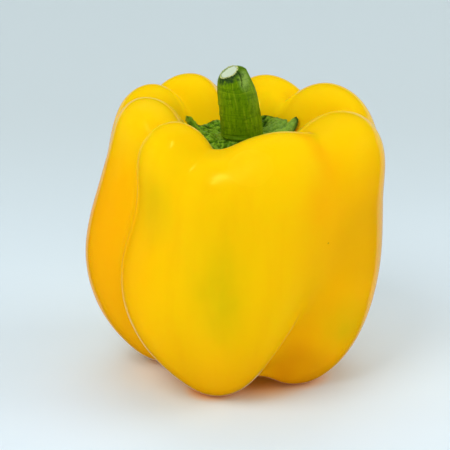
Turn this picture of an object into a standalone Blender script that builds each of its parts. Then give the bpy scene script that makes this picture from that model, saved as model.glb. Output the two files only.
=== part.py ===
"""A yellow bell pepper as picked: its lobed fruit, its green calyx and its cut stem.

Metres, +Z up. The pepper stands at z = 0 on the tips of its lobes, and the fruit's axis is upright.
Angles are in degrees round that axis, from +X towards +Y. The front of the pepper faces -Y.
"""

import math

import bmesh
import bpy
import numpy as np

COLLECTION_NAME = "bell_pepper"

# Where the fruit's axis stands, which puts the middle of the whole pepper over the origin
AXIS_X = 0.00086
AXIS_Y = 0.00111

# Free space between two pieces that touch
GAP = 0.00045

# Outline of half the fruit as (distance from the axis, height), from the blossom end up to the stem's seat
PROFILE = (
    (0.0, 0.0117), (0.008, 0.0087), (0.015, 0.0028), (0.0215, -0.0002), (0.028, 0.0018), (0.0345, 0.0092),
    (0.0395, 0.0212), (0.0425, 0.0372), (0.0428, 0.0532), (0.0415, 0.0662), (0.037, 0.0767), (0.029, 0.0812),
    (0.021, 0.0782), (0.0155, 0.0717), (0.009, 0.0687), (0.0, 0.0682),
)

# The shape of the lobes is given at these points of PROFILE, counted from the blossom end:
# blossom end, tip, flank, belly, waist, shoulder, crest, wall of the hollow, seat
STATIONS = (0, 3, 5, 6.8, 8.2, 9.6, 11, 12.8, 15)

# Each swelling runs up the fruit as a finger. From tip to wall it has the angle that it stands at, how far
# its back stands out of PROFILE, and the radius that its back is rounded to. A front lobe's two fingers
# part near the top. The last two fill the broad hollows between lobes.
FINGERS = {
    "front_left": dict(
        angle=(-110, -119, -127, -125, -126, -129, -131),
        reach=(-0.0003, 0.0, 0.0015, -0.0046, -0.002, 0.0, 0.0),
        girth=(0.012, 0.016, 0.025, 0.028, 0.020, 0.0115, 0.009)),
    "front_right": dict(
        angle=(-106, -97, -86, -78, -70, -66, -66),
        reach=(-0.0003, 0.0008, 0.001, 0.0, 0.0, -0.0015, 0.0),
        girth=(0.012, 0.018, 0.034, 0.040, 0.036, 0.026, 0.016)),
    "right_front": dict(
        angle=(-35, -26, -22, -20, -20, -18, -17),
        reach=(0.0, 0.0005, 0.0007, 0.0006, 0.0029, -0.0008, 0.0),
        girth=(0.017, 0.024, 0.034, 0.036, 0.030, 0.017, 0.012)),
    "right_back": dict(
        angle=(-15, 0, 8, 14, 22, 26, 32),
        reach=(-0.0004, 0.0, 0.0, 0.0005, 0.002, 0.0014, 0.0),
        girth=(0.017, 0.024, 0.030, 0.034, 0.030, 0.015, 0.012)),
    "back_right": dict(
        angle=(70, 70, 70, 70, 71, 72, 72),
        reach=(0.0, 0.0, 0.0, 0.0, 0.0, 0.0, 0.0),
        girth=(0.017, 0.024, 0.030, 0.034, 0.028, 0.011, 0.009)),
    "back_left": dict(
        angle=(95, 100, 108, 114, 120, 120, 120),
        reach=(0.0, 0.0, 0.0, 0.0, 0.0, 0.0012, 0.0),
        girth=(0.017, 0.024, 0.030, 0.034, 0.028, 0.011, 0.009)),
    "left_back": dict(
        angle=(160, 158, 156, 156, 155, 154, 154),
        reach=(-0.0004, 0.0, 0.0, -0.002, -0.0012, 0.0014, 0.0),
        girth=(0.017, 0.024, 0.030, 0.030, 0.024, 0.012, 0.009)),
    "left_front": dict(
        angle=(168, 172, 178, 182, 184, 185, 186),
        reach=(-0.0004, 0.001, 0.0024, -0.0024, -0.0036, 0.0012, 0.0025),
        girth=(0.017, 0.024, 0.030, 0.030, 0.024, 0.015, 0.012)),
    "right_hollow": dict(
        angle=(-62, -57, -54, -49, -50, -46, -42),
        reach=(-0.022, -0.015, -0.006, -0.002, -0.0035, -0.0045, -0.004),
        girth=(0.015, 0.020, 0.030, 0.034, 0.030, 0.014, 0.010)),
    "front_hollow": dict(
        angle=(-108, -108, -104, -101, -101, -106, -106),
        reach=(-0.010, -0.003, -0.0015, -0.0015, -0.0035, -0.0075, -0.0055),
        girth=(0.015, 0.020, 0.034, 0.034, 0.026, 0.014, 0.010)),
}

# At each station: how softly the fingers run together, and how deep a furrow may sink below PROFILE
SOFTNESS = (0.0006, 0.001, 0.0014, 0.0022, 0.0022, 0.0016, 0.0010, 0.0008, 0.0004)
FURROW_FLOOR = (-0.002, -0.0048, -0.0075, -0.013, -0.016, -0.010, -0.0064, -0.0050, -0.002)

# A finger's back stays round as far as this share of its girth, and then runs on straight
ROUND_SHARE = 0.93

# Faces round the fruit and the calyx, and up the fruit
AROUND = 84
FRUIT_ROWS = 46

# Calyx: length along the fruit from the axis to the edge, and thickness by the stem and at the edge
CALYX_REACH = 0.0150
CALYX_THICK = 0.0016
CALYX_EDGE = 0.0009
CALYX_ROWS = 16
# Its teeth: angle, length beyond the edge, how far the tip curls up off the fruit
TEETH = (
    (171, 0.0042, 0.0020), (116, 0.0008, 0.0003), (56, 0.0028, 0.0004),
    (13, 0.0052, 0.0021), (-56, 0.0014, 0.0004), (-122, 0.0012, 0.0003),
)
TOOTH_HALF_WIDTH = 15
RIB_HEIGHT = 0.0007
RIB_HALF_WIDTH = 11
# Round seat that carries the stem
SEAT_RADIUS = 0.0064
SEAT_SLOPE = 0.0026
SEAT_TOP = 0.0711

# Stem: axis and radius from its foot to its cut end, at even steps of its length
STEM_FOOT = SEAT_TOP + 0.0003
STEM_CENTRE_X = (0.0013, 0.00095, 0.00045, -0.0002, -0.001, -0.00165)
STEM_CENTRE_Y = (0.0, 0.0, -0.0001, -0.0002, -0.0003, -0.0005)
STEM_RADIUS = (0.00595, 0.00585, 0.00570, 0.0054, 0.0047, 0.0037)
STEM_SHOULDER = 0.0011
SHOULDER_SHIFT = -0.0006
STEM_RIDGES = 5
RIDGE_HEIGHT = 0.00018
STEM_SIDES = 30
STEM_ROWS = 14
# The slanting cut: a point on it, and how much it climbs to the right and to the back
CUT_POINT = (-0.0022, -0.0005, 0.0904)
CUT_CLIMB_X = 0.434
CUT_CLIMB_Y = 0.373

YELLOW_SKIN = (0.93, 0.53, 0.004)
CALYX_GREEN = (0.10, 0.20, 0.02)
STEM_GREEN = (0.07, 0.16, 0.006)


def natural_spline(knots, values, at):
    """The smooth curve through values given at the knots, free of bending at both ends."""
    knots = np.asarray(knots, float)
    values = np.asarray(values, float)
    at = np.asarray(at, float)
    steps = np.diff(knots)
    count = len(knots)
    balance = np.zeros((count, count))
    load = np.zeros_like(values)
    balance[0, 0] = 1
    balance[-1, -1] = 1
    for i in range(1, count - 1):
        balance[i, i - 1:i + 2] = steps[i - 1], 2 * (steps[i - 1] + steps[i]), steps[i]
        load[i] = 6 * ((values[i + 1] - values[i]) / steps[i] - (values[i] - values[i - 1]) / steps[i - 1])
    bend = np.linalg.solve(balance, load)
    i = np.clip(np.searchsorted(knots, at, side="right") - 1, 0, count - 2)
    after = at - knots[i]
    before = knots[i + 1] - at
    step = steps[i]
    if values.ndim > 1:
        after, before, step = after[..., None], before[..., None], step[..., None]
    curve = (bend[i] * before ** 3 + bend[i + 1] * after ** 3) / (6 * step)
    curve += (values[i] / step - bend[i] * step / 6) * before
    return curve + (values[i + 1] / step - bend[i + 1] * step / 6) * after


def profile(place):
    """Distance from the axis and height at a place on PROFILE, which crosses the axis square at both ends."""
    points = np.array(PROFILE)
    mirror = np.array((-1, 1))
    whole = np.vstack([points[3:0:-1] * mirror, points, points[-2:-5:-1] * mirror])
    return natural_spline(np.arange(len(whole)) - 3.0, whole, place)


def arc_lengths():
    """Fine places along PROFILE, and the length of the outline up to each."""
    places = np.linspace(0, len(PROFILE) - 1, 4001)
    pieces = np.linalg.norm(np.diff(profile(places), axis=0), axis=1)
    return places, np.concatenate([[0], np.cumsum(pieces)])


def at_stations(values, place):
    """A quantity given at the nine stations, read at any place."""
    return natural_spline(STATIONS, values, place)


def with_ends(values, first, last):
    return (first,) + tuple(values) + (last,)


def finger_swell(finger, angle, place, radius, softness):
    """How strongly one finger lifts the skin at points round the fruit."""
    turn = finger["angle"]
    girth = finger["girth"]
    middle = np.radians(at_stations(with_ends(turn, turn[0], turn[-1]), place))
    reach = at_stations(with_ends(finger["reach"], 0, 0), place)
    back = at_stations(with_ends(girth, girth[0], girth[-1]), place)
    aside = radius * np.abs((angle - middle + math.pi) % (2 * math.pi) - math.pi)
    limit = ROUND_SHARE * back
    bow = np.minimum(aside, limit)
    slope = limit / np.sqrt(back ** 2 - limit ** 2)
    drop = back - np.sqrt(back ** 2 - bow ** 2) + (aside - bow) * slope
    return np.exp(np.maximum((reach - drop) / softness, -60))


def skin(angle, place, lift=0.0):
    """Points of the fruit's skin, or of a layer lifted off it, about the fruit's axis."""
    outline = profile(place)
    along = profile(place + 0.001) - profile(place - 0.001)
    outward = np.stack([along[..., 1], -along[..., 0]], axis=-1)
    outward /= np.linalg.norm(outward, axis=-1, keepdims=True)
    radius = np.maximum(outline[..., 0], 0)
    softness = at_stations(SOFTNESS, place)
    swell = np.exp(at_stations(FURROW_FLOOR, place) / softness)
    for finger in FINGERS.values():
        swell = swell + finger_swell(finger, angle, place, radius, softness)
    rise = softness * np.log(swell) + lift
    distance = np.maximum(outline[..., 0] + outward[..., 0] * rise, 0)
    height = outline[..., 1] + outward[..., 1] * rise
    return np.stack([distance * np.cos(angle), distance * np.sin(angle), height], axis=-1)


def ball(columns, rows):
    """A ball of quads with its points' angles round the axis, and their share of the way from pole to pole."""
    mesh = bmesh.new()
    bmesh.ops.create_uvsphere(mesh, u_segments=columns, v_segments=rows, radius=1)
    points = np.array([vert.co for vert in mesh.verts])
    angle = np.arctan2(points[:, 1], points[:, 0])
    share = 1 - np.arccos(np.clip(points[:, 2], -1, 1)) / math.pi
    return mesh, angle, share


def move_points(mesh, points):
    for vert, point in zip(mesh.verts, points):
        vert.co = point


def add_object(name, mesh, colour, roughness):
    """Make an object of the mesh about the fruit's axis, smooth, with its own material."""
    data = bpy.data.meshes.new(name)
    mesh.to_mesh(data)
    mesh.free()
    data.shade_smooth()
    material = bpy.data.materials.new(name)
    material.use_nodes = True
    shader = material.node_tree.nodes["Principled BSDF"]
    shader.inputs["Base Color"].default_value = (*colour, 1)
    shader.inputs["Roughness"].default_value = roughness
    shader.inputs["Metallic"].default_value = 0
    data.materials.append(material)
    piece = bpy.data.objects.new(name, data)
    piece.location = (AXIS_X, AXIS_Y, 0)
    bpy.data.collections[COLLECTION_NAME].objects.link(piece)
    return piece


def build_fruit():
    """The solid fruit, with a small flat spot under the tip of each lobe."""
    mesh, angle, share = ball(AROUND, FRUIT_ROWS)
    places, lengths = arc_lengths()
    place = np.interp(share * lengths[-1], lengths, places)
    points = skin(angle, place)
    points[:, 2] = np.maximum(points[:, 2], 0)
    move_points(mesh, points)
    return add_object("fruit", mesh, YELLOW_SKIN, roughness=0.22)


def hump(angle, middle, half_width):
    """1 on the middle line of a tooth or rib, falling to 0 at its half width."""
    away = np.abs((np.degrees(angle) - middle + 180) % 360 - 180) / half_width
    return np.where(away < 1, (1 + np.cos(math.pi * np.minimum(away, 1))) / 2, 0)


def smooth_step(low, high, value):
    share = np.clip((value - low) / (high - low), 0, 1)
    return share * share * (3 - 2 * share)


def build_calyx():
    """The crown that lies on the fruit, with a rib out to each tooth and a flat seat for the stem."""
    mesh, angle, share = ball(AROUND, CALYX_ROWS)
    out = 1 - np.abs(2 * share - 1)
    length = np.full_like(angle, CALYX_REACH)
    curl = np.zeros_like(angle)
    rib = np.zeros_like(angle)
    for middle, tooth, lift in TEETH:
        length += tooth * hump(angle, middle, TOOTH_HALF_WIDTH)
        curl += lift * hump(angle, middle, TOOTH_HALF_WIDTH)
        rib += hump(angle, middle, RIB_HALF_WIDTH)
    places, lengths = arc_lengths()
    place = np.interp(lengths[-1] - length * out, lengths, places)
    beyond = smooth_step(0.55, 1, out)
    thickness = CALYX_THICK + (CALYX_EDGE - CALYX_THICK) * beyond
    thickness += RIB_HEIGHT * rib * smooth_step(0.3, 0.7, out) * (1 - beyond)
    side = np.clip((2 * share - 1) * CALYX_ROWS / 2, -1, 1) / 2 + 0.5
    points = skin(angle, place, GAP + thickness * side + curl * beyond ** 2)
    from_stem = np.hypot(points[:, 0] - STEM_CENTRE_X[0], points[:, 1] - STEM_CENTRE_Y[0])
    seat = (1 - smooth_step(SEAT_RADIUS, SEAT_RADIUS + SEAT_SLOPE, from_stem)) * (share > 0.5)
    points[:, 2] += (SEAT_TOP - points[:, 2]) * seat
    move_points(mesh, points)
    return add_object("calyx", mesh, CALYX_GREEN, roughness=0.55)


def build_stem():
    """The stalk, bowed to the left, five-ridged, rounded in at its slanting cut end."""
    mesh = bmesh.new()
    bmesh.ops.create_cone(mesh, cap_ends=True, segments=STEM_SIDES, radius1=1, radius2=1, depth=1)
    uprights = [edge for edge in mesh.edges if abs(edge.verts[0].co.z - edge.verts[1].co.z) > 0.5]
    bmesh.ops.subdivide_edges(mesh, edges=uprights, cuts=STEM_ROWS - 1)
    points = np.array([vert.co for vert in mesh.verts])
    angle = np.arctan2(points[:, 1], points[:, 0])
    up = np.clip(points[:, 2] + 0.5, 0, 1)
    steps = np.linspace(0, 1, len(STEM_RADIUS))
    radius = natural_spline(steps, STEM_RADIUS, up)
    radius += RIDGE_HEIGHT * np.cos(STEM_RIDGES * angle) * np.sin(math.pi * up) ** 0.5
    shoulder = smooth_step(0.88, 1, up) ** 2
    radius -= STEM_SHOULDER * shoulder
    x = natural_spline(steps, STEM_CENTRE_X, up) + SHOULDER_SHIFT * shoulder + radius * np.cos(angle)
    y = natural_spline(steps, STEM_CENTRE_Y, up) + radius * np.sin(angle)
    cut = CUT_POINT[2] + CUT_CLIMB_X * (x - CUT_POINT[0]) + CUT_CLIMB_Y * (y - CUT_POINT[1])
    z = STEM_FOOT + up * (cut - STEM_FOOT)
    move_points(mesh, np.stack([x, y, z], axis=-1))
    stem = add_object("stem", mesh, STEM_GREEN, roughness=0.5)
    stem.data.set_sharp_from_angle(angle=math.radians(50))
    return stem


def main():
    for old in list(bpy.data.objects):
        bpy.data.objects.remove(old)
    collection = bpy.data.collections.new(COLLECTION_NAME)
    bpy.context.scene.collection.children.link(collection)
    build_fruit()
    build_calyx()
    build_stem()


main()
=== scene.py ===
import math

import bmesh
import bpy
import numpy as np
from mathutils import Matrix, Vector, noise


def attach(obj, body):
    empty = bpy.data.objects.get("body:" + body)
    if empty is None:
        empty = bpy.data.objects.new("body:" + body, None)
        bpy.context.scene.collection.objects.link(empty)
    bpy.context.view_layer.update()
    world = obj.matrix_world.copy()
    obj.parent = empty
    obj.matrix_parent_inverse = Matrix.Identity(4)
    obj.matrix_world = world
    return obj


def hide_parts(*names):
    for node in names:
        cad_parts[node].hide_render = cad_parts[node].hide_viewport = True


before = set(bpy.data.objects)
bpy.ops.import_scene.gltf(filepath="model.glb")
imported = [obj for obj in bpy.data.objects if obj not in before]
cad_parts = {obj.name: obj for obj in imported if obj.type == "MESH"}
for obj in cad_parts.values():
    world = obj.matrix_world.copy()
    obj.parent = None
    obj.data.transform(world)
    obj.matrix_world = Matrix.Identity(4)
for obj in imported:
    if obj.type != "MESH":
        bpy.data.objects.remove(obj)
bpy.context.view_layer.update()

# Where the fruit's axis stands
AXIS = Vector((0.00086, 0.00111, 0.0))

# Camera: as high above the table as it looks down, a long lens from arm's length
CAMERA_TILT = math.radians(20)
CAMERA_FAR = 0.7
PIXEL = 0.000292
IMAGE_SIDE = 450
SENSOR = 36
CAMERA_AIM = AXIS + Vector((-0.0035, 0.0, 0.0437))

# The fruit's form
# Outline of half the fruit as (distance from the axis, height), from the blossom end up to the stem's seat
PROFILE = (
    (0.0, 0.0117), (0.008, 0.0087), (0.015, 0.0028), (0.0215, -0.0002), (0.028, 0.0018), (0.0345, 0.0092),
    (0.0395, 0.0212), (0.0425, 0.0372), (0.0428, 0.0532), (0.0415, 0.0662), (0.037, 0.0767), (0.029, 0.0812),
    (0.021, 0.0782), (0.0155, 0.0717), (0.009, 0.0687), (0.0, 0.0682),
)
# Points of PROFILE where the lobes are given: blossom end, tip, flank, belly, waist, shoulder, crest,
# wall of the hollow, seat
STATIONS = (0, 3, 5, 6.8, 8.2, 9.6, 11, 12.8, 15)
# Each swelling is a finger up the fruit: from tip to wall its angle, how far its back stands out of
# PROFILE, and the radius that its back is rounded to. The last two fill the broad hollows between lobes.
FINGERS = {
    "front_left": dict(
        angle=(-110, -119, -128.5, -128, -128.5, -128, -131),
        reach=(-0.0003, 0.0, 0.0015, -0.0046, -0.002, 0.0, 0.0),
        girth=(0.012, 0.016, 0.025, 0.028, 0.020, 0.0115, 0.009)),
    "front_right": dict(
        angle=(-106, -95.5, -86, -78, -70, -66, -66),
        reach=(-0.0003, 0.0008, 0.001, 0.0, 0.0, -0.0015, 0.0),
        girth=(0.012, 0.018, 0.034, 0.040, 0.036, 0.026, 0.016)),
    "right_front": dict(
        angle=(-36, -26, -22, -20, -20, -18, -17),
        reach=(0.0, 0.0005, 0.0007, 0.0006, 0.0029, -0.0008, 0.0),
        girth=(0.018, 0.024, 0.034, 0.036, 0.030, 0.017, 0.012)),
    "right_back": dict(
        angle=(-15, 0, 8, 14, 22, 26, 32),
        reach=(-0.0004, 0.0, 0.0, 0.0005, 0.002, 0.0014, 0.0),
        girth=(0.017, 0.024, 0.030, 0.034, 0.030, 0.015, 0.012)),
    "back_right": dict(
        angle=(70, 70, 70, 70, 71, 72, 72),
        reach=(0.0, 0.0, 0.0, 0.0, 0.0, 0.0, 0.0),
        girth=(0.017, 0.024, 0.030, 0.034, 0.028, 0.011, 0.009)),
    "back_left": dict(
        angle=(95, 100, 108, 114, 120, 120, 120),
        reach=(0.0, 0.0, 0.0, 0.0, 0.0, 0.0012, 0.0),
        girth=(0.017, 0.024, 0.030, 0.034, 0.028, 0.011, 0.009)),
    "left_back": dict(
        angle=(160, 158, 156, 156, 155, 154, 154),
        reach=(-0.0004, 0.0, 0.0, -0.002, -0.0012, 0.0014, 0.0),
        girth=(0.017, 0.024, 0.030, 0.030, 0.024, 0.012, 0.009)),
    "left_front": dict(
        angle=(168, 172, 178, 182, 184, 185, 186),
        reach=(-0.0004, 0.001, 0.0024, -0.0024, -0.0036, 0.0012, 0.0025),
        girth=(0.017, 0.024, 0.030, 0.030, 0.024, 0.015, 0.012)),
    "right_hollow": dict(
        angle=(-62, -57, -54, -49, -50, -46, -42),
        reach=(-0.022, -0.015, -0.006, -0.002, -0.0035, -0.0045, -0.004),
        girth=(0.015, 0.020, 0.030, 0.034, 0.030, 0.014, 0.010)),
    "front_hollow": dict(
        angle=(-108, -108, -104, -101, -101, -106, -106),
        reach=(-0.010, -0.003, -0.0015, -0.0015, -0.0035, -0.0075, -0.0055),
        girth=(0.015, 0.020, 0.034, 0.034, 0.026, 0.014, 0.010)),
}
# At each station: how softly the fingers run together, and how deep a furrow may sink below PROFILE
SOFTNESS = (0.0006, 0.001, 0.0014, 0.0022, 0.0022, 0.0016, 0.0010, 0.0008, 0.0004)
FURROW_FLOOR = (-0.002, -0.0048, -0.0075, -0.013, -0.016, -0.010, -0.0064, -0.0050, -0.002)
# A finger's back stays round as far as this share of its girth, and then runs on straight
ROUND_SHARE = 0.93
SKIN_COLUMNS = 360
SKIN_ROWS = 240
# Slight unevenness of the skin: its height, its grain, and the share of that grain up the fruit
UNEVEN_HEIGHT = 0.00012
UNEVEN_GRAIN = 75
UNEVEN_UPRIGHT = 0.35
# How far the skin lies within the CAD solid's facets
SKIN_INSET = 0.00014
# Fuller crests, and last a deeper furrow: angle, half width in degrees, place on PROFILE, half length
# there, height
FULLNESS = (
    (-80, 75, 11, 1.6, 0.0007),
    (-126, 30, 11, 1.6, 0.0005),
    (-150, 60, 11, 1.6, 0.0002),
    (0, 60, 11, 1.6, 0.00036),
    (-65, 15, 4, 2.2, -0.0016),
)
# How far the skin sinks where it begins to count as a furrow, and where it fully does
FURROW_SHALLOW = -0.0015
FURROW_DEEP = -0.009

# The calyx: its gap to the fruit, reach along the skin, thickness at the middle and at the edge
CALYX_GAP = 0.00025
CALYX_REACH = 0.0150
CALYX_THICK = 0.0016
CALYX_EDGE = 0.0009
CALYX_COLUMNS = 480
CALYX_ROWS = 120
# Rows of its mesh over which the top turns into the underside at the edge
CALYX_TURN_ROWS = 6
# Its teeth: angle, length beyond the edge, how far the tip curls up off the fruit, half width of the
# blunt tip and of the foot
TEETH = {
    "left": (167, 0.0044, 0.0008, 6, 15),
    "back_left": (116, 0.0008, 0.0003, 2, 15),
    "back": (57, 0.0028, 0.0004, 2, 15),
    "back_right": (34, 0.0030, 0.0003, 8, 20),
    "right": (14, 0.0054, 0.0007, 1, 9),
    "front_right": (-56, 0.0014, 0.0004, 2, 15),
    "front_left": (-122, 0.0012, 0.0003, 2, 15),
}
# The left tooth is a thick strap, pale with painted light
STRAP_THICKER = 0.0008
# The right tooth's tip has dried dark: half width in degrees, the curl from which a tip is dark, how dark
# it is, and how dark the other curled tips are beside it
DARK_TIP_HALF_WIDTH = 12
DARK_TIP_CURL = 0.0006
DARK_TIP = 0.9
DARK_OTHERS = 0.25
# The rib up to each tooth, and how ragged the edge is
RIB_HEIGHT = 0.0007
RIB_HALF_WIDTH = 11
EDGE_RAGGED = 0.00035
# Folds that run outwards and finer crumples, both with sharp creases. They begin beside the stalk, at a
# share of the way out, and are shallower at the edge.
FOLD_HEIGHT = 0.00078
FOLD_GRAIN = 1.7
FOLD_STRETCH = (3.6, 3.6, 1.2)
CRUMPLE_HEIGHT = 0.00036
CRUMPLE_GRAIN = 430
CREASE_SHARP = 2.4
FOLDS_BEGIN = 0.34
FOLDS_FULL = 0.5
FOLDS_FADE = 0.65
# The flat that the stalk stands on: its radius, the width of the slope round it, and its height
SEAT_RADIUS = 0.0064
SEAT_SLOPE = 0.0026
SEAT_TOP = 0.0711

# The stalk: axis and radius from its foot to its cut end, at even steps of its length
STALK_FOOT = SEAT_TOP - 0.0002
STALK_CENTRE_X = (0.00145, 0.00105, 0.00045, -0.0002, -0.00115, -0.0018)
STALK_CENTRE_Y = (0.0, 0.0, -0.0001, -0.0002, -0.0002, -0.0001)
STALK_RADIUS = (0.00605, 0.00592, 0.00570, 0.0054, 0.0047, 0.00365)
# The shoulder under the cut: where it begins, how far it rounds in, and how far it shifts to the left
SHOULDER_FOOT = 0.88
SHOULDER_INSET = 0.0011
SHOULDER_SHIFT = -0.0006
# Five broad ridges, many fine ones that are sharp on top, and fibres
STALK_RIDGES = 5
RIDGE_HEIGHT = 0.00018
FINE_RIDGES = 21
FINE_RIDGE_HEIGHT = 0.00005
FINE_RIDGE_SHARP = 6
FIBRE_HEIGHT = 0.00005
STALK_COLUMNS = 240
STALK_ROWS = 200
# The slanting cut: a point on it, how much it climbs to the right and to the back, how far its edge is
# torn away, and how deep the rind's end sinks towards its middle, under the pith
CUT_POINT = (-0.0022, -0.0005, 0.0904)
CUT_CLIMB_X = 0.434
CUT_CLIMB_Y = 0.29
CUT_RAGGED = 0.0006
FUNNEL_DEPTH = 0.0015
# The pith in the cut: its radius, the mean share of that which it fills and how much the share varies,
# how far it lies below the cut, its hollowing, unevenness and thickness
PITH_RADIUS = 0.0026
PITH_FILL = 0.93
PITH_VARIES = 0.05
PITH_SINK = 0.0002
PITH_DISH = 0.00018
PITH_UNEVEN = 0.00004
PITH_THICK = 0.0007
PITH_COLUMNS = 120
PITH_ROWS = 48
# Its greenish edge is broken by the pith's grain and is wider at the back left: angle, half width
PITH_GREEN_BROKEN = 0.12
PITH_GREEN_WIDER = 0.19
PITH_GREEN_SIDE = (130, 100)
# Marks on the rind: angle, share of the way up, half width in degrees, half height as a share, and how
# far the mark stands out or, below zero, is cut in
STALK_MARKS = (
    (-112, 0.68, 14, 0.008, -0.00012), (-118, 0.60, 10, 0.007, -0.00010), (-110, 0.565, 13, 0.007, -0.00010),
    (-68, 0.37, 11, 0.008, -0.00014), (-66, 0.352, 11, 0.009, 0.00008), (-128, 0.20, 12, 0.007, -0.00008),
    (-95, 0.47, 9, 0.006, -0.00007), (-150, 0.60, 20, 0.030, 0.00016), (-150, 0.41, 20, 0.030, 0.00018),
    (-152, 0.505, 20, 0.022, -0.00012), (60, 0.55, 15, 0.008, -0.00010), (140, 0.35, 14, 0.008, -0.00010),
    (20, 0.72, 12, 0.007, -0.00009),
    (-120, 0.050, 46, 0.020, 0.00034), (-118, 0.095, 44, 0.012, -0.00016), (-118, 0.008, 44, 0.010, -0.0002),
)
# A crack down the right of the stalk's front: angle at its lower end and at the cut, share of the way up
# at its lower end, and depth
CRACK_LOW = -55
CRACK_TOP = -25
CRACK_FOOT = 0.76
CRACK_DEPTH = 0.00035
# The bruise under the cut: shares of the way up where it begins and is full, angle, half width
BRUISE_FOOT = 0.90
BRUISE_FULL = 0.985
BRUISE_SIDE = (-95, 110)
# The pale rim of the cut: shares of the way up where it begins and is full
RIM_FOOT = 0.984
RIM_FULL = 0.996


def natural_spline(knots, values, at):
    """The smooth curve through values given at the knots, free of bending at both ends."""
    knots = np.asarray(knots, float)
    values = np.asarray(values, float)
    at = np.asarray(at, float)
    steps = np.diff(knots)
    count = len(knots)
    balance = np.zeros((count, count))
    load = np.zeros_like(values)
    balance[0, 0] = 1
    balance[-1, -1] = 1
    for i in range(1, count - 1):
        balance[i, i - 1:i + 2] = steps[i - 1], 2 * (steps[i - 1] + steps[i]), steps[i]
        load[i] = 6 * ((values[i + 1] - values[i]) / steps[i] - (values[i] - values[i - 1]) / steps[i - 1])
    bend = np.linalg.solve(balance, load)
    i = np.clip(np.searchsorted(knots, at, side="right") - 1, 0, count - 2)
    after = at - knots[i]
    before = knots[i + 1] - at
    step = steps[i]
    if values.ndim > 1:
        after, before, step = after[..., None], before[..., None], step[..., None]
    curve = (bend[i] * before ** 3 + bend[i + 1] * after ** 3) / (6 * step)
    curve += (values[i] / step - bend[i] * step / 6) * before
    return curve + (values[i + 1] / step - bend[i + 1] * step / 6) * after


def profile(place):
    """Distance from the axis and height at a place on PROFILE, which meets the axis square at both ends."""
    points = np.array(PROFILE)
    mirror = np.array((-1, 1))
    whole = np.vstack([points[3:0:-1] * mirror, points, points[-2:-5:-1] * mirror])
    return natural_spline(np.arange(len(whole)) - 3.0, whole, place)


def arc_lengths():
    """Fine places along PROFILE, and the length of the outline up to each."""
    places = np.linspace(0, len(PROFILE) - 1, 4001)
    pieces = np.linalg.norm(np.diff(profile(places), axis=0), axis=1)
    return places, np.concatenate([[0], np.cumsum(pieces)])


def at_stations(values, place):
    """A quantity given at the nine stations, read at any place."""
    return natural_spline(STATIONS, values, place)


def with_ends(values, first, last):
    """A finger's seven values with one more at the blossom end and one at the stem's seat."""
    return (first,) + tuple(values) + (last,)


def finger_swell(finger, angle, place, radius, softness):
    """How strongly one finger lifts the skin at points round the fruit."""
    turn = finger["angle"]
    girth = finger["girth"]
    middle = np.radians(at_stations(with_ends(turn, turn[0], turn[-1]), place))
    reach = at_stations(with_ends(finger["reach"], 0, 0), place)
    back = at_stations(with_ends(girth, girth[0], girth[-1]), place)
    aside = radius * np.abs((angle - middle + math.pi) % (2 * math.pi) - math.pi)
    limit = ROUND_SHARE * back
    bow = np.minimum(aside, limit)
    slope = limit / np.sqrt(back ** 2 - limit ** 2)
    drop = back - np.sqrt(back ** 2 - bow ** 2) + (aside - bow) * slope
    return np.exp(np.maximum((reach - drop) / softness, -60))


def skin_rise(angle, place):
    """How far the skin stands out of PROFILE at points round the fruit; furrows are below zero."""
    radius = np.maximum(profile(place)[..., 0], 0)
    softness = at_stations(SOFTNESS, place)
    swell = np.exp(at_stations(FURROW_FLOOR, place) / softness)
    for finger in FINGERS.values():
        swell = swell + finger_swell(finger, angle, place, radius, softness)
    return softness * np.log(swell)


def skin_points(angle, place, rise):
    """Points that stand out of PROFILE by the rise, in the part's frame."""
    outline = profile(place)
    along = profile(place + 0.001) - profile(place - 0.001)
    outward = np.stack([along[..., 1], -along[..., 0]], axis=-1)
    outward /= np.linalg.norm(outward, axis=-1, keepdims=True)
    distance = np.maximum(outline[..., 0] + outward[..., 0] * rise, 0)
    height = outline[..., 1] + outward[..., 1] * rise
    x = AXIS.x + distance * np.cos(angle)
    y = AXIS.y + distance * np.sin(angle)
    return np.stack([x, y, height], axis=-1)


def smooth_step(low, high, value):
    share = np.clip((value - low) / (high - low), 0, 1)
    return share * share * (3 - 2 * share)


def hump(angle, middle, half_width):
    """1 on a middle line up the fruit, falling to 0 at its half width, both in degrees."""
    away = np.abs((np.degrees(angle) - middle + 180) % 360 - 180) / half_width
    return np.where(away < 1, (1 + np.cos(math.pi * np.minimum(away, 1))) / 2, 0)


def tube(columns, rows):
    """A closed upright tube of quads with a fan of triangles at each end, and its points."""
    mesh = bmesh.new()
    bmesh.ops.create_cone(mesh, cap_ends=True, cap_tris=True, segments=columns,
                          radius1=1, radius2=1, depth=1)
    uprights = [edge for edge in mesh.edges if abs(edge.verts[0].co.z - edge.verts[1].co.z) > 0.5]
    bmesh.ops.subdivide_edges(mesh, edges=uprights, cuts=rows - 1)
    return mesh, np.array([vert.co for vert in mesh.verts])


def ball(columns, rows):
    """A closed skin with its points' angles round the axis, and their share of the way from pole to pole."""
    mesh, points = tube(columns, rows - 2)
    angle = np.arctan2(points[:, 1], points[:, 0])
    rim = np.hypot(points[:, 0], points[:, 1]) > 0.5
    row = np.where(rim, 1 + (points[:, 2] + 0.5) * (rows - 2), np.where(points[:, 2] > 0, rows, 0))
    return mesh, angle, row / rows


def move_points(mesh, points):
    for vert, point in zip(mesh.verts, points):
        vert.co = point


def paint(mesh, name, values):
    """Give each point of the mesh a number that its material reads."""
    layer = mesh.verts.layers.float.new(name)
    for vert, value in zip(mesh.verts, values):
        vert[layer] = value


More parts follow.
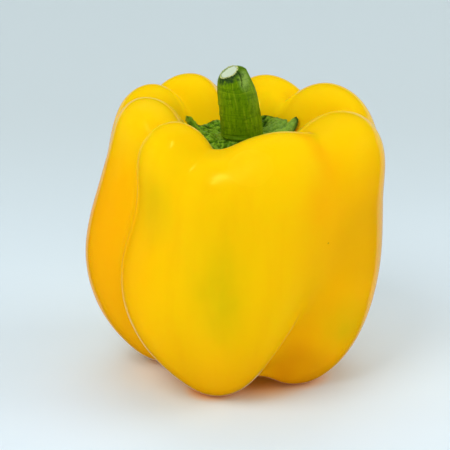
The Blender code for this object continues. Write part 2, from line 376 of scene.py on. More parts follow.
def keep_piece(name, mesh, material, node):
    """Turn the mesh into a smooth piece of the pepper that stands for a CAD node."""
    data = bpy.data.meshes.new(name)
    mesh.to_mesh(data)
    mesh.free()
    data.shade_smooth()
    data.materials.append(material)
    piece = bpy.data.objects.new(name, data)
    bpy.context.scene.collection.objects.link(piece)
    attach(piece, "root")
    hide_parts(node)


def rough(points, scale, seed):
    """Smooth noise from about -1 to 1 at each point."""
    shift = Vector((seed * 7.3, seed * 3.1, seed * 5.7))
    return np.array([noise.fractal(Vector(point) * scale + shift, 1.0, 2.0, 3) for point in points])


class Shader:
    """A Principled material whose node tree is filled by short calls."""

    def __init__(self, name):
        self.material = bpy.data.materials.new(name)
        self.material.use_nodes = True
        self.tree = self.material.node_tree
        self.surface = self.tree.nodes["Principled BSDF"]
        self.where = self.tree.nodes.new("ShaderNodeTexCoord").outputs["Object"]

    def node(self, kind, inputs, **settings):
        """A node with its settings and its inputs, which are sockets to link or plain values."""
        made = self.tree.nodes.new(kind)
        for name, value in settings.items():
            setattr(made, name, value)
        for name, value in inputs.items():
            self.feed(made.inputs[name], value)
        return made

    def feed(self, socket, value):
        if isinstance(value, bpy.types.NodeSocket):
            self.tree.links.new(value, socket)
        else:
            socket.default_value = value

    def set(self, **values):
        """Feed the surface's own sockets; underscores stand for spaces."""
        for name, value in values.items():
            self.feed(self.surface.inputs[name.replace("_", " ")], value)

    def attribute(self, name):
        return self.node("ShaderNodeAttribute", {}, attribute_name=name).outputs["Fac"]

    def grain(self, scale, stretch=(1, 1, 1), detail=3.0, roughness=0.5):
        """Noise from 0 to 1 on the piece; stretch above 1 makes it finer along that axis."""
        place = self.node("ShaderNodeMapping", {"Vector": self.where, "Scale": stretch}).outputs["Vector"]
        inputs = {"Vector": place, "Scale": scale, "Detail": detail, "Roughness": roughness}
        return self.node("ShaderNodeTexNoise", inputs).outputs["Fac"]

    def spread(self, value, low, high, out_low=0.0, out_high=1.0):
        """The value's range from low to high, smoothly stretched to the new range and held there."""
        inputs = {"Value": value, "From Min": low, "From Max": high, "To Min": out_low, "To Max": out_high}
        return self.node("ShaderNodeMapRange", inputs, interpolation_type="SMOOTHSTEP").outputs["Result"]

    def times(self, a, b):
        made = self.node("ShaderNodeMath", {}, operation="MULTIPLY")
        self.feed(made.inputs[0], a)
        self.feed(made.inputs[1], b)
        return made.outputs[0]

    def plus(self, a, b):
        made = self.node("ShaderNodeMath", {}, operation="ADD")
        self.feed(made.inputs[0], a)
        self.feed(made.inputs[1], b)
        return made.outputs[0]

    def along(self, axis):
        """How far a point of the piece lies along X, Y or Z, in metres."""
        return self.node("ShaderNodeSeparateXYZ", {"Vector": self.where}).outputs[axis]

    def size_of(self, value):
        made = self.node("ShaderNodeMath", {}, operation="ABSOLUTE")
        self.feed(made.inputs[0], value)
        return made.outputs[0]

    def spot(self, centre, size, full=1.0):
        """1 in an egg-shaped patch out to 1 - full of its size, from there falling to 0 at its edge."""
        place = self.node("ShaderNodeMapping", {"Vector": self.where, "Location": centre, "Scale": size},
                          vector_type="TEXTURE").outputs["Vector"]
        fall = self.node("ShaderNodeTexGradient", {"Vector": place}, gradient_type="SPHERICAL")
        return self.spread(fall.outputs["Fac"], 0.0, full)

    def tint(self, colour, over, amount):
        """The colour mixed over what lies below it by the amount."""
        made = self.node("ShaderNodeMix", {}, data_type="RGBA")
        self.feed(made.inputs["Factor"], amount)
        self.feed(made.inputs["A"], over if isinstance(over, bpy.types.NodeSocket) else (*over, 1))
        self.feed(made.inputs["B"], colour if isinstance(colour, bpy.types.NodeSocket) else (*colour, 1))
        return made.outputs["Result"]

    def patch(self, colour, over, centre, size, full=1.0, strength=1.0):
        """The colour over an egg-shaped patch of what lies below it."""
        return self.tint(colour, over, self.times(self.spot(centre, size, full), strength))

    def relief(self, height, depth, below=None):
        """Bump of a real depth in metres, on top of another bump if there is one."""
        inputs = {"Height": height, "Distance": depth, "Strength": 1.0}
        if below:
            inputs["Normal"] = below
        return self.node("ShaderNodeBump", inputs).outputs["Normal"]


# Colours of the skin: its ground and fine grain, streaks, the top, long stripes on the flanks, the left,
# partly its own and partly painted bounce light, the right, partly its own and partly painted shade, and
# painted warm shade at the foot and in the furrows
YELLOW = (0.935, 0.565, 0.0015)
YELLOW_GRAIN = (0.925, 0.53, 0.0015)
YELLOW_STREAK = (0.90, 0.53, 0.0015)
LEMON_TOP = (0.94, 0.61, 0.002)
GOLD_STRIPE = (0.86, 0.44, 0.0015)
GOLD_LEFT_AND_BOUNCE = (0.92, 0.40, 0.0015)
GOLD_RIGHT_AND_SHADE = (0.90, 0.43, 0.0015)
GOLD_LOW_SHADE = (0.98, 0.43, 0.0015)
GOLD_FURROW_SHADE = (0.93, 0.42, 0.001)
# Faint tints of the skin, each over an egg-shaped patch: colour, centre, half sizes, soft share of the
# patch, strength. They are painted shade of a dent on the right, painted shade low down on the right,
# painted warm shade in the furrow between the front and the right crest, a darker tint on the front
# crest, and painted light on the wall of the hollow behind the stalk.
WARM_FURROW_SHADE = (0.95, 0.41, 0.0015)
RIGHT_DENT_SHADE = ((0.77, 0.39, 0.0015), (0.0370, -0.0209, 0.0470), (0.014, 0.022, 0.018), 0.6, 0.55)
SKIN_PATCHES = (
    ((0.72, 0.30, 0.0015), (0.0190, -0.0212, 0.0060), (0.014, 0.018, 0.015), 0.7, 0.75),
    (WARM_FURROW_SHADE, (0.0195, -0.0235, 0.0785), (0.005, 0.005, 0.005), 1.0, 0.45),
    (WARM_FURROW_SHADE, (0.0231, -0.0260, 0.0759), (0.006, 0.006, 0.006), 1.0, 0.45),
    (WARM_FURROW_SHADE, (0.0256, -0.0274, 0.0705), (0.007, 0.007, 0.009), 1.0, 0.45),
    (WARM_FURROW_SHADE, (0.0240, -0.0320, 0.0620), (0.008, 0.010, 0.012), 1.0, 0.45),
    ((0.83, 0.52, 0.0015), (-0.0096, -0.0253, 0.0784), (0.014, 0.010, 0.008), 0.7, 0.8),
    ((1.0, 0.66, 0.003), (0.0095, 0.0180, 0.0755), (0.012, 0.007, 0.008), 0.7, 1.0),
)
# Olive clouds on the skin: centre, half sizes, strength
OLIVE = (0.60, 0.46, 0.002)
OLIVE_PATCHES = (
    ((-0.0042, -0.0410, 0.0365), (0.011, 0.02, 0.022), 0.75),
    ((-0.0052, -0.0410, 0.050), (0.016, 0.02, 0.026), 0.35),
    ((-0.0232, -0.0305, 0.0590), (0.009, 0.013, 0.014), 0.7),
    ((0.0322, -0.0216, 0.0216), (0.013, 0.016, 0.014), 0.6),
    ((0.030, 0.034, 0.040), (0.015, 0.015, 0.026), 0.4),
    ((-0.020, 0.036, 0.030), (0.014, 0.016, 0.022), 0.45),
)
# One dark speck on the right: colour, strength, and its centre and half sizes
SPECK_BROWN = (0.36, 0.20, 0.01)
SPECK_STRENGTH = 0.65
SPECK = ((0.02626, -0.03089, 0.0499), (0.0006, 0.0006, 0.00045))
# Two duller places in the gloss: centre, half sizes, soft share
DULL_LEFT = ((-0.0262, -0.0120, 0.0786), (0.013, 0.013, 0.013), 0.4)
DULL_FRONT = ((0.0042, -0.0354, 0.0737), (0.0085, 0.008, 0.007), 0.5)


def skin_shader():
    """Waxy yellow skin: lemon on top, golden sides partly painted bounce light and shade, painted warm shade
    at the foot and in the furrows, faint olive clouds.
    """
    skin = Shader("pepper_skin")
    x = skin.along("X")
    z = skin.along("Z")
    colour = skin.tint(YELLOW_GRAIN, YELLOW, skin.grain(55))
    streaks = skin.grain(170, (1, 1, 0.22), detail=4)
    colour = skin.tint(YELLOW_STREAK, colour, skin.spread(streaks, 0.5, 0.8, 0, 0.5))
    colour = skin.tint(LEMON_TOP, colour, skin.spread(z, 0.058, 0.082))
    stripes = skin.spread(skin.grain(120, (1, 1, 0.08), detail=3), 0.45, 0.7, 0, 0.4)
    colour = skin.tint(GOLD_STRIPE, colour, skin.times(stripes, skin.spread(z, 0.078, 0.062)))
    # The golden left is partly the skin's own colour and partly painted bounce light, the golden right
    # partly painted shade
    golden_left_and_bounce = skin.times(skin.spread(x, -0.016, -0.040, 0, 0.85), skin.spread(z, 0.090, 0.050))
    colour = skin.tint(GOLD_LEFT_AND_BOUNCE, colour, golden_left_and_bounce)
    golden_right_and_shade = skin.times(skin.spread(x, 0.008, 0.032, 0, 0.85), skin.spread(z, 0.088, 0.050))
    colour = skin.tint(GOLD_RIGHT_AND_SHADE, colour, golden_right_and_shade)
    # Painted shade of a dent on the right
    dent_shade_colour, *dent_shade = RIGHT_DENT_SHADE
    colour = skin.patch(dent_shade_colour, colour, *dent_shade)
    # Painted warm shade towards the foot and in the furrows
    colour = skin.tint(GOLD_LOW_SHADE, colour, skin.spread(z, 0.036, 0.002, 0, 0.75))
    furrow_shade = skin.times(skin.attribute("furrow"), skin.spread(z, 0.074, 0.058, 0, 0.35))
    colour = skin.tint(GOLD_FURROW_SHADE, colour, furrow_shade)
    # Painted shade low on the right and in the furrow by the front crest, a darker front crest, and painted
    # light on the hollow's wall
    for patch_colour, *patch in SKIN_PATCHES:
        colour = skin.patch(patch_colour, colour, *patch)
    cloud = skin.spread(skin.grain(90, (1, 1, 0.5)), 0.3, 0.7, 0.5, 1)
    for centre, size, strength in OLIVE_PATCHES:
        amount = skin.times(skin.times(skin.spot(centre, size), cloud), strength)
        colour = skin.tint(OLIVE, colour, amount)
    speck = skin.spread(skin.spot(*SPECK), 0.1, 0.7)
    colour = skin.tint(SPECK_BROWN, colour, skin.times(speck, SPECK_STRENGTH))
    skin.set(Base_Color=colour, IOR=1.36, Specular_Tint=(1.0, 0.8, 0.12, 1))
    gloss = skin.spread(skin.grain(260, (1, 1, 0.4)), 0.3, 0.7, 0.12, 0.17)
    dull = skin.plus(skin.times(skin.spot(*DULL_LEFT), 0.10), skin.times(skin.spot(*DULL_FRONT), 0.25))
    skin.set(Roughness=skin.plus(gloss, dull))
    skin.set(Sheen_Weight=0.18, Sheen_Roughness=0.15, Sheen_Tint=(1.0, 0.92, 0.7, 1))
    skin.set(Subsurface_Weight=0.35, Subsurface_Scale=0.008, Subsurface_Radius=(1.0, 0.35, 0.05))
    wobble = skin.relief(skin.grain(110, (1, 1, 0.5), detail=2), 0.00008)
    skin.set(Normal=skin.relief(skin.grain(1500, detail=2), 0.000006, wobble))
    return skin.material


# Colours of the calyx: its ground and mottling, painted shade in the creases, painted highlights on the
# ridges and the strap, pale flecks, veins and the dry tip
LEAF = (0.075, 0.195, 0.004)
LEAF_MOTTLE = (0.120, 0.285, 0.008)
LEAF_CREASE_SHADE = (0.016, 0.058, 0.001)
LEAF_RIDGE_HIGHLIGHT = (0.25, 0.45, 0.025)
LEAF_FLECK = (0.30, 0.50, 0.10)
LEAF_VEIN = (0.03, 0.085, 0.002)
LEAF_TIP = (0.012, 0.05, 0.006)
# The brighter leaf behind the stalk on the right: colour, centre, half sizes, soft share, strength
BRIGHT_LEAF = ((0.26, 0.46, 0.07), (0.0140, 0.0070, 0.0730), (0.008, 0.008, 0.006), 0.6, 0.55)


def calyx_shader():
    """Wrinkled leaf green: painted highlights on the ridges and the strap, painted shade in the creases,
    dark veins and the dry tip.
    """
    leaf = Shader("calyx_leaf")
    colour = leaf.tint(LEAF_MOTTLE, LEAF, leaf.grain(420))
    # Painted shade in the creases and painted highlights on the ridges and the strap
    ridge = leaf.attribute("ridge")
    colour = leaf.tint(LEAF_CREASE_SHADE, colour, leaf.spread(ridge, 0.04, 0.42, 0.9, 0))
    colour = leaf.tint(LEAF_RIDGE_HIGHLIGHT, colour, leaf.spread(ridge, 0.5, 0.95, 0, 0.9))
    pale = leaf.spread(leaf.grain(560, (1, 1, 0.6), detail=5), 0.55, 0.66, 0, 0.6)
    colour = leaf.tint(LEAF_FLECK, colour, pale)
    veins = leaf.spread(leaf.grain(900, detail=5, roughness=0.7), 0.42, 0.51, 0.7, 0)
    colour = leaf.tint(LEAF_VEIN, colour, veins)
    bright_colour, *bright_place = BRIGHT_LEAF
    colour = leaf.patch(bright_colour, colour, *bright_place)
    colour = leaf.tint(LEAF_TIP, colour, leaf.attribute("tip"))
    leaf.set(Base_Color=colour, Roughness=0.36, IOR=1.33, Specular_Tint=(0.8, 1.0, 0.2, 1))
    leaf.set(Subsurface_Weight=0.05, Subsurface_Scale=0.002, Subsurface_Radius=(0.5, 1.0, 0.1))
    leaf.set(Normal=leaf.relief(leaf.grain(1100, detail=5), 0.0003))
    return leaf.material


# Colours of the rind: its two fibres, the dark middle, ridges, mottling, scratches, cross lines, flecks,
# the bruise, the crack, and the cut's rim with its flecks
RIND_FIBRE = (0.160, 0.295, 0.0012)
RIND = (0.088, 0.195, 0.001)
RIND_MIDDLE = (0.080, 0.190, 0.0008)
RIND_RIDGE = (0.21, 0.33, 0.008)
RIND_MOTTLE = (0.045, 0.120, 0.0008)
RIND_SCRATCH = (0.24, 0.37, 0.008)
RIND_LINE = (0.045, 0.115, 0.001)
RIND_FLECK = (0.026, 0.070, 0.001)
RIND_BRUISE = (0.014, 0.038, 0.012)
RIND_CRACK = (0.010, 0.030, 0.004)
RIM = (0.20, 0.22, 0.035)
RIM_FLECK = (0.62, 0.66, 0.26)
# The x where the rind is darkest
RIND_MIDDLE_X = 0.0022
# Painted light on the rind: a greyish highlight down the right side, a pale highlight at the top on the
# right and yellowish light on the left edge: colour, centre, half sizes, soft share, strength
RIND_LIGHT_PATCHES = (
    ((0.22, 0.36, 0.04), (0.0060, -0.0024, 0.0850), (0.0026, 0.004, 0.010), 1.0, 0.3),
    ((0.27, 0.43, 0.09), (0.0030, -0.0020, 0.0895), (0.0026, 0.0035, 0.0055), 0.7, 0.7),
    ((0.18, 0.27, 0.006), (-0.0044, -0.0020, 0.0790), (0.0026, 0.004, 0.016), 1.0, 0.8),
)


def stalk_shader():
    """Mottled green rind: upright fibres and ridges, cross scratches, painted light on its edges, and a
    bruise under its pale rim.
    """
    stalk = Shader("stalk_rind")
    fibre = stalk.grain(1500, (1, 1, 0.07), detail=5)
    colour = stalk.tint(RIND_FIBRE, RIND, stalk.spread(fibre, 0.38, 0.66))
    from_middle = stalk.size_of(stalk.plus(stalk.along("X"), -RIND_MIDDLE_X))
    middle = stalk.spread(from_middle, 0.0052, 0.0005)
    colour = stalk.tint(RIND_MIDDLE, colour, stalk.times(middle, 0.75))
    fading = stalk.spread(stalk.grain(420, (1, 1, 0.5), detail=3), 0.40, 0.60, 0.1, 0.7)
    colour = stalk.tint(RIND_RIDGE, colour, stalk.times(stalk.attribute("ridge"), fading))
    # Painted highlights on the right and at the top, painted light on the left edge
    for patch_colour, *patch in RIND_LIGHT_PATCHES:
        colour = stalk.patch(patch_colour, colour, *patch)
    mottle = stalk.spread(stalk.grain(850, (1, 1, 0.7), detail=6, roughness=0.7), 0.50, 0.64, 0, 0.65)
    colour = stalk.tint(RIND_MOTTLE, colour, mottle)
    scratch = stalk.spread(stalk.grain(520, (0.25, 0.25, 2.6), detail=4), 0.6, 0.75)
    colour = stalk.tint(RIND_SCRATCH, colour, stalk.times(scratch, 0.7))
    cross_lines = stalk.spread(stalk.grain(700, (0.2, 0.2, 3.2), detail=4), 0.46, 0.34, 0, 0.5)
    colour = stalk.tint(RIND_LINE, colour, cross_lines)
    flecks = stalk.spread(stalk.grain(2600, (1, 1, 0.5), detail=3), 0.60, 0.72, 0, 0.6)
    colour = stalk.tint(RIND_FLECK, colour, flecks)
    colour = stalk.tint(RIND_BRUISE, colour, stalk.attribute("bruise"))
    colour = stalk.tint(RIND_CRACK, colour, stalk.times(stalk.attribute("crack"), 0.95))
    rim_flecks = stalk.spread(stalk.grain(2400, detail=4), 0.36, 0.48)
    colour = stalk.tint(stalk.tint(RIM_FLECK, RIM, rim_flecks), colour, stalk.attribute("rim"))
    stalk.set(Base_Color=colour, Roughness=0.42, IOR=1.3, Specular_Tint=(0.8, 1.0, 0.2, 1))
    ribs = stalk.relief(fibre, 0.00006)
    stalk.set(Normal=stalk.relief(scratch, 0.00004, stalk.relief(mottle, 0.00004, ribs)))
    return stalk.material


# Colours of the pith: its ground, grain and greenish edge
PITH = (0.63, 0.72, 0.55)
PITH_GRAIN = (0.54, 0.64, 0.46)
PITH_EDGE = (0.16, 0.27, 0.045)


def pith_shader():
    """Pale, damp pith with a faint green bloom towards the rind."""
    pith = Shader("stalk_pith")
    colour = pith.tint(PITH_GRAIN, PITH, pith.grain(900, detail=4))
    colour = pith.tint(PITH_EDGE, colour, pith.attribute("edge"))
    pith.set(Base_Color=colour, Roughness=0.4, IOR=1.4)
    pith.set(Subsurface_Weight=0.15, Subsurface_Scale=0.001, Subsurface_Radius=(1.0, 1.0, 0.6))
    pith.set(Normal=pith.relief(pith.grain(2600, detail=3), 0.00005))
    return pith.material


def build_fruit():
    """The skin of the fruit, from the same lobes as the CAD solid."""
    mesh, angle, share = ball(SKIN_COLUMNS, SKIN_ROWS)
    places, lengths = arc_lengths()
    place = np.interp(share * lengths[-1], lengths, places)
    rise = skin_rise(angle, place)
    points = skin_points(angle, place, rise)
    swell = UNEVEN_HEIGHT * rough(points * (1, 1, UNEVEN_UPRIGHT), UNEVEN_GRAIN, 3) - SKIN_INSET
    for middle, half_width, level, half_length, height in FULLNESS:
        along = np.clip(np.abs(place - level) / half_length, 0, 1)
        swell += height * hump(angle, middle, half_width) * (1 + np.cos(math.pi * along)) / 2
    points = skin_points(angle, place, rise + swell)
    points[:, 2] = np.maximum(points[:, 2], 0)
    move_points(mesh, points)
    # The furrows' depth, which the skin's material turns into painted warm shade
    paint(mesh, "furrow", smooth_step(FURROW_SHALLOW, FURROW_DEEP, rise))
    keep_piece("fruit_skin", mesh, skin_shader(), "fruit")


def tooth_width(angle, middle, tip, foot):
    """1 across a blunt tooth's tip, falling to 0 at its foot; half widths in degrees."""
    away = np.abs((np.degrees(angle) - middle + 180) % 360 - 180)
    return 1 - smooth_step(tip, foot, away)


def build_calyx():
    """The crown on the fruit: ribs out to its teeth, folds and crumples, and a flat seat for the stalk."""
    mesh, angle, share = ball(CALYX_COLUMNS, CALYX_ROWS)
    out = 1 - np.abs(2 * share - 1)
    length = np.full_like(angle, CALYX_REACH)
    curl = np.zeros_like(angle)
    rib = np.zeros_like(angle)
    for middle, tooth, lift, tip, foot in TEETH.values():
        width = tooth_width(angle, middle, tip, foot)
        length += tooth * width
        curl += lift * width
        rib += hump(angle, middle, RIB_HALF_WIDTH)
    edge = np.stack([np.cos(angle), np.sin(angle), np.zeros_like(angle)], axis=-1)
    length += EDGE_RAGGED * rough(edge, 7, 4)
    places, lengths = arc_lengths()
    place = np.interp(lengths[-1] - length * out, lengths, places)
    beyond = smooth_step(0.55, 1, out)
    thickness = CALYX_THICK + (CALYX_EDGE - CALYX_THICK) * beyond
    thickness += RIB_HEIGHT * rib * smooth_step(0.3, 0.7, out) * (1 - beyond)
    middle, _, _, tip, foot = TEETH["left"]
    strap = tooth_width(angle, middle, tip, foot) * smooth_step(0.7, 0.85, out)
    thickness += STRAP_THICKER * strap
    side = np.clip((2 * share - 1) * CALYX_ROWS / CALYX_TURN_ROWS, -1, 1) / 2 + 0.5
    rise = skin_rise(angle, place) - SKIN_INSET
    flat = skin_points(angle, place, rise)
    radial = np.stack([np.cos(angle), np.sin(angle), out], axis=-1) * FOLD_STRETCH
    folds = 1 - CREASE_SHARP * np.abs(rough(radial, FOLD_GRAIN, 2))
    crumple = 1 - CREASE_SHARP * np.abs(rough(flat, CRUMPLE_GRAIN, 5))
    spread = smooth_step(FOLDS_BEGIN, FOLDS_FULL, out) * (1 - FOLDS_FADE * beyond)
    wrinkle = (FOLD_HEIGHT * folds + CRUMPLE_HEIGHT * crumple) * spread
    points = skin_points(angle, place, rise + CALYX_GAP + (thickness + wrinkle) * side + curl * beyond ** 2)
    centre_x = AXIS.x + STALK_CENTRE_X[0]
    from_stalk = np.hypot(points[:, 0] - centre_x, points[:, 1] - AXIS.y)
    seat = (1 - smooth_step(SEAT_RADIUS, SEAT_RADIUS + SEAT_SLOPE, from_stalk)) * (share > 0.5)
    points[:, 2] += (SEAT_TOP - points[:, 2]) * seat
    move_points(mesh, points)
    # How high each point lies on its folds, and the strap, for the leaf's painted highlights and shade
    paint(mesh, "ridge", np.maximum(smooth_step(-0.6, 1.4, folds + 0.7 * crumple) * side, strap))
    dark = np.minimum(hump(angle, TEETH["right"][0], DARK_TIP_HALF_WIDTH) + DARK_OTHERS, 1)
    dark = dark * np.minimum(curl / DARK_TIP_CURL, 1)
    paint(mesh, "tip", DARK_TIP * dark * smooth_step(0.95, 0.99, out))
    keep_piece("calyx_crown", mesh, calyx_shader(), "calyx")


def cut_height(x, y):
    """Height of the slanting cut over a point of the part's frame."""
    return (CUT_POINT[2] + CUT_CLIMB_X * (x - AXIS.x - CUT_POINT[0])
            + CUT_CLIMB_Y * (y - AXIS.y - CUT_POINT[1]))


def build_stalk():
    """The stalk's rind, bowed to the left, ridged, cracked, and rounded in to its ragged cut edge."""
    mesh, points = tube(STALK_COLUMNS, STALK_ROWS)
    angle = np.arctan2(points[:, 1], points[:, 0])
    degrees = np.degrees(angle)
    rim = np.hypot(points[:, 0], points[:, 1])
    up = np.clip(points[:, 2] + 0.5, 0, 1)
    steps = np.linspace(0, 1, len(STALK_RADIUS))
    shoulder = smooth_step(SHOULDER_FOOT, 1, up) ** 2
    radius = natural_spline(steps, STALK_RADIUS, up) - SHOULDER_INSET * shoulder
    radius += RIDGE_HEIGHT * np.cos(STALK_RIDGES * angle) * np.sin(math.pi * up) ** 0.5
    fine_ridges = ((1 + np.cos(FINE_RIDGES * angle + 2 * np.sin(3 * up))) / 2) ** FINE_RIDGE_SHARP
    fine_ridges = fine_ridges * smooth_step(0.02, 0.3, up)
    radius += FINE_RIDGE_HEIGHT * fine_ridges * (1 - shoulder)
    for middle, height, wide, tall, depth in STALK_MARKS:
        aside = (degrees - middle + 180) % 360 - 180
        radius += depth * np.exp(-(aside / wide) ** 4 - ((up - height) / tall) ** 2)
    opened = np.clip((up - CRACK_FOOT) / (1 - CRACK_FOOT), 0, 1)
    aside = degrees - CRACK_LOW - (CRACK_TOP - CRACK_LOW) * opened ** 3 - 2 * np.sin(up * 60)
    crack = np.exp(-(aside / (2 + 4 * opened ** 2)) ** 2) * smooth_step(0, 0.3, opened)
    radius -= CRACK_DEPTH * crack
    stretched = np.stack([np.cos(angle), np.sin(angle), up * 0.9], axis=-1)
    fibres = rough(stretched * (5, 5, 1), 3, 3)
    radius += FIBRE_HEIGHT * fibres * (1 - shoulder)
    radius = radius * rim
    middle_x = AXIS.x + natural_spline(steps, STALK_CENTRE_X, up) + SHOULDER_SHIFT * shoulder
    x = middle_x + radius * np.cos(angle)
    y = AXIS.y + natural_spline(steps, STALK_CENTRE_Y, up) + radius * np.sin(angle)
    ragged = np.abs(rough(stretched * (1, 1, 0), 6, 4)) * smooth_step(0.97, 1, up)
    z = STALK_FOOT + up * (cut_height(x, y) - CUT_RAGGED * ragged - STALK_FOOT)
    z -= FUNNEL_DEPTH * (1 - rim) * (up > 0.5)
    move_points(mesh, np.stack([x, y, z], axis=-1))
    blot = rough(stretched * (1, 1, 6), 5, 4)
    bruise = smooth_step(BRUISE_FOOT, BRUISE_FULL, up + 0.05 * blot)
    bruise = bruise * np.minimum(1.6 * hump(angle, *BRUISE_SIDE), 1)
    paint(mesh, "bruise", 0.95 * bruise)
    paint(mesh, "crack", crack)
    paint(mesh, "ridge", fine_ridges)
    paint(mesh, "rim", smooth_step(RIM_FOOT, RIM_FULL, up + 0.006 * blot))
    keep_piece("stalk_rind", mesh, stalk_shader(), "stem")


def build_cut():
    """The pale pith in the cut end: a thin dished plate that lies just within the rind's edge."""
    mesh, angle, share = ball(PITH_COLUMNS, PITH_ROWS)
    out = 1 - np.abs(2 * share - 1)
    circle = np.stack([np.cos(angle), np.sin(angle), np.zeros_like(angle)], axis=-1)
    radius = PITH_RADIUS * (PITH_FILL + PITH_VARIES * rough(circle, 4, 3)) * out
    x = AXIS.x + STALK_CENTRE_X[-1] + SHOULDER_SHIFT + radius * np.cos(angle)
    y = AXIS.y + STALK_CENTRE_Y[-1] + radius * np.sin(angle)
    place = np.stack([x, y, np.zeros_like(x)], axis=-1)
    pith = rough(place, 1500, 4)
    dish = PITH_SINK + PITH_DISH * (1 - out ** 2) - PITH_UNEVEN * pith
    thick = PITH_THICK * (1 - out ** 2) ** 0.5 * (share < 0.5)
    move_points(mesh, np.stack([x, y, cut_height(x, y) - dish - thick], axis=-1))
    ragged = out + PITH_GREEN_BROKEN * pith + PITH_GREEN_WIDER * hump(angle, *PITH_GREEN_SIDE)
    paint(mesh, "edge", smooth_step(0.88, 1.02, ragged) * 0.85)
    keep_piece("stalk_pith", mesh, pith_shader(), "stem")


# Floor, backdrop, lights and camera
# Colours of the paper: near, painted shade far behind, painted light at the right and in front, and round
# and under the pepper painted warm light, where the skin's colour shines on it
PAPER_NEAR = (0.70, 0.82, 0.90)
PAPER_FAR_SHADE = (0.55, 0.63, 0.655)
PAPER_RIGHT_LIGHT = (0.79, 0.89, 0.96)
PAPER_FRONT_LIGHT = (0.76, 0.88, 0.98)
PAPER_WARM_BOUNCE = (0.95, 0.80, 0.66)
PAPER_GLOW = (1.0, 0.52, 0.05)
# Where the skin's colour shines on the paper round the lobes' tips: x, y, radius, strength
GLOWS = (
    (0.004, -0.002, 0.027, 1.0),
    (-0.0063, -0.0190, 0.0095, 0.7),
    (0.0192, -0.0095, 0.0105, 0.4),
    (0.0033, 0.0226, 0.010, 0.5),
    (-0.0190, 0.0050, 0.008, 0.4),
)
# The paper's front end, the place behind the pepper where it curves up, its curve's radius, the height
# of its upright end, and its width
SWEEP_FRONT = -1.6
SWEEP_BACK = 0.55
SWEEP_RADIUS = 0.35
SWEEP_STEPS = 24
SWEEP_UPRIGHT = 1.2
SWEEP_WIDTH = 2.4


def pull(mesh, edges, offset):
    """Draw a strip of faces out of the edges by the offset, and give the edges at its end."""
    moved = bmesh.ops.extrude_edge_only(mesh, edges=edges)["geom"]
    points = [part for part in moved if isinstance(part, bmesh.types.BMVert)]
    bmesh.ops.translate(mesh, verts=points, vec=offset)
    lines = [part for part in moved if isinstance(part, bmesh.types.BMEdge)]
    return [line for line in lines if all(vert in points for vert in line.verts)]


def build_sweep():
    """The pale paper that the pepper stands on, which curves up into the backdrop, with painted light and
    shade.
    """
    mesh = bmesh.new()
    left = mesh.verts.new((-SWEEP_WIDTH / 2, SWEEP_FRONT, 0))
    right = mesh.verts.new((SWEEP_WIDTH / 2, SWEEP_FRONT, 0))
    end = pull(mesh, [mesh.edges.new((left, right))], (0, SWEEP_BACK - SWEEP_FRONT, 0))
    for step in range(SWEEP_STEPS):
        low = math.pi / 2 * step / SWEEP_STEPS
        high = math.pi / 2 * (step + 1) / SWEEP_STEPS
        back = SWEEP_RADIUS * (math.sin(high) - math.sin(low))
        up = SWEEP_RADIUS * (math.cos(low) - math.cos(high))
        end = pull(mesh, end, (0, back, up))
    pull(mesh, end, (0, 0, SWEEP_UPRIGHT))
    data = bpy.data.meshes.new("paper_sweep")
    mesh.to_mesh(data)
    mesh.free()
    data.shade_smooth()
    paper = Shader("sweep_paper")
    x = paper.along("X")
    y = paper.along("Y")
    # Painted shade on the paper further back
    colour = paper.tint(PAPER_FAR_SHADE, PAPER_NEAR, paper.spread(y, -0.06, 0.27))
    # Painted light at the right and in front, and painted warm light round and under the pepper
    lit_right = paper.times(paper.spread(x, -0.10, 0.16, 0, 0.5), paper.spread(y, 0.16, 0.0))
    colour = paper.tint(PAPER_RIGHT_LIGHT, colour, lit_right)
    colour = paper.tint(PAPER_FRONT_LIGHT, colour, paper.spot((-0.004, -0.040, 0.0), (0.085, 0.055, 0.05), 0.6))
    colour = paper.tint(PAPER_WARM_BOUNCE, colour, paper.spot((0.0, 0.0, 0.0), (0.040, 0.036, 0.03)))
    for glow_x, glow_y, radius, strength in GLOWS:
        amount = paper.spot((glow_x, glow_y, 0.0), (radius, radius, radius), 0.6)
        colour = paper.tint(PAPER_GLOW, colour, paper.times(amount, strength))
    paper.set(Base_Color=colour, Roughness=0.9, Specular_IOR_Level=0.1)
    data.materials.append(paper.material)
    sweep = bpy.data.objects.new("paper_sweep", data)
    sweep.visible_glossy = False
    bpy.context.scene.collection.objects.link(sweep)


# Soft lamps that aren't mirrored in the gloss: name, angle round the pepper, angle above the table,
# distance, width, height, watts
LAMPS = (
    ("key", -128, 50, 1.2, 0.6, 0.6, 5.4),
    ("low_front", -90, 6, 1.3, 0.6, 0.6, 4.4),
    ("low_left", 179, 6, 1.3, 0.6, 0.6, 3.9),
    ("right", 0, 25, 1.3, 0.8, 0.8, 6.2),
    ("back", 90, 55, 0.8, 0.7, 0.7, 2.0),
)
# A narrow lamp that only shows as the highlight on the skin, given as the soft ones are
GLINT = ("glint", -126, 50, 1.1, 0.10, 0.38, 1.3)
# What the lamps look at, and how bright the room is
LAMP_AIM = Vector((0, 0, 0.045))
ROOM_STRENGTH = 0.44
# A glowing panel behind the pepper: middle, turn about X, width, height, watts
PANEL_MIDDLE = (0.105, 0.5, -0.11)
PANEL_TURN = math.radians(-90)
PANEL_SIZE = (0.93, 0.50)
PANEL_POWER = 0.67


def add_area(name, wide, tall, power):
    """A rectangular lamp at the origin."""
    lamp = bpy.data.lights.new(name, "AREA")
    lamp.shape = "RECTANGLE"
    lamp.size = wide
    lamp.size_y = tall
    lamp.energy = power
    held = bpy.data.objects.new(name, lamp)
    bpy.context.scene.collection.objects.link(held)
    return held


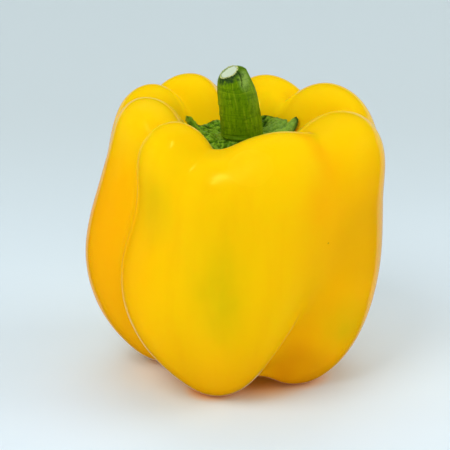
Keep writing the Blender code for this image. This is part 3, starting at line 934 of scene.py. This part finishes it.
def add_lamp(name, azimuth, elevation, far, wide, tall, power, mirrored=False):
    """A lamp that looks at the pepper: it either lights it softly or is only mirrored in its gloss."""
    azimuth = math.radians(azimuth)
    elevation = math.radians(elevation)
    towards = Vector((math.cos(elevation) * math.cos(azimuth), math.cos(elevation) * math.sin(azimuth),
                      math.sin(elevation)))
    held = add_area(name, wide, tall, power)
    held.location = LAMP_AIM + towards * far
    held.rotation_euler = towards.to_track_quat("Z", "Y").to_euler()
    held.visible_glossy = mirrored
    held.visible_diffuse = not mirrored


def add_rim_glow():
    """The panel behind the pepper, which only shows as the pale line along the skin's edges."""
    held = add_area("rim_glow", *PANEL_SIZE, PANEL_POWER)
    held.location = PANEL_MIDDLE
    held.rotation_euler = (PANEL_TURN, 0, 0)
    held.visible_diffuse = False
    held.visible_camera = False


def light_room():
    """An even white room that the gloss doesn't mirror, the lamps, the highlight and the rim's glow."""
    world = bpy.data.worlds.new("soft_room")
    world.use_nodes = True
    sky = world.node_tree.nodes["Background"]
    sky.inputs["Color"].default_value = (1, 1, 1, 1)
    sky.inputs["Strength"].default_value = ROOM_STRENGTH
    world.cycles_visibility.glossy = False
    bpy.context.scene.world = world
    for lamp in LAMPS:
        add_lamp(*lamp)
    add_lamp(*GLINT, mirrored=True)
    add_rim_glow()


def aim_camera():
    """The camera at the photograph's height and angle, with the photograph's frame."""
    camera = bpy.data.objects.new("camera", bpy.data.cameras.new("camera"))
    camera.data.sensor_width = SENSOR
    camera.data.lens = SENSOR * (CAMERA_FAR / PIXEL) / IMAGE_SIDE
    camera.data.clip_start = 0.01
    look = Vector((0, math.cos(CAMERA_TILT), -math.sin(CAMERA_TILT)))
    camera.location = CAMERA_AIM - look * CAMERA_FAR
    camera.rotation_euler = (math.pi / 2 - CAMERA_TILT, 0, 0)
    bpy.context.scene.collection.objects.link(camera)
    bpy.context.scene.camera = camera


bpy.context.scene.view_settings.view_transform = "Standard"
aim_camera()
build_fruit()
build_calyx()
build_stalk()
build_cut()
build_sweep()
light_room()
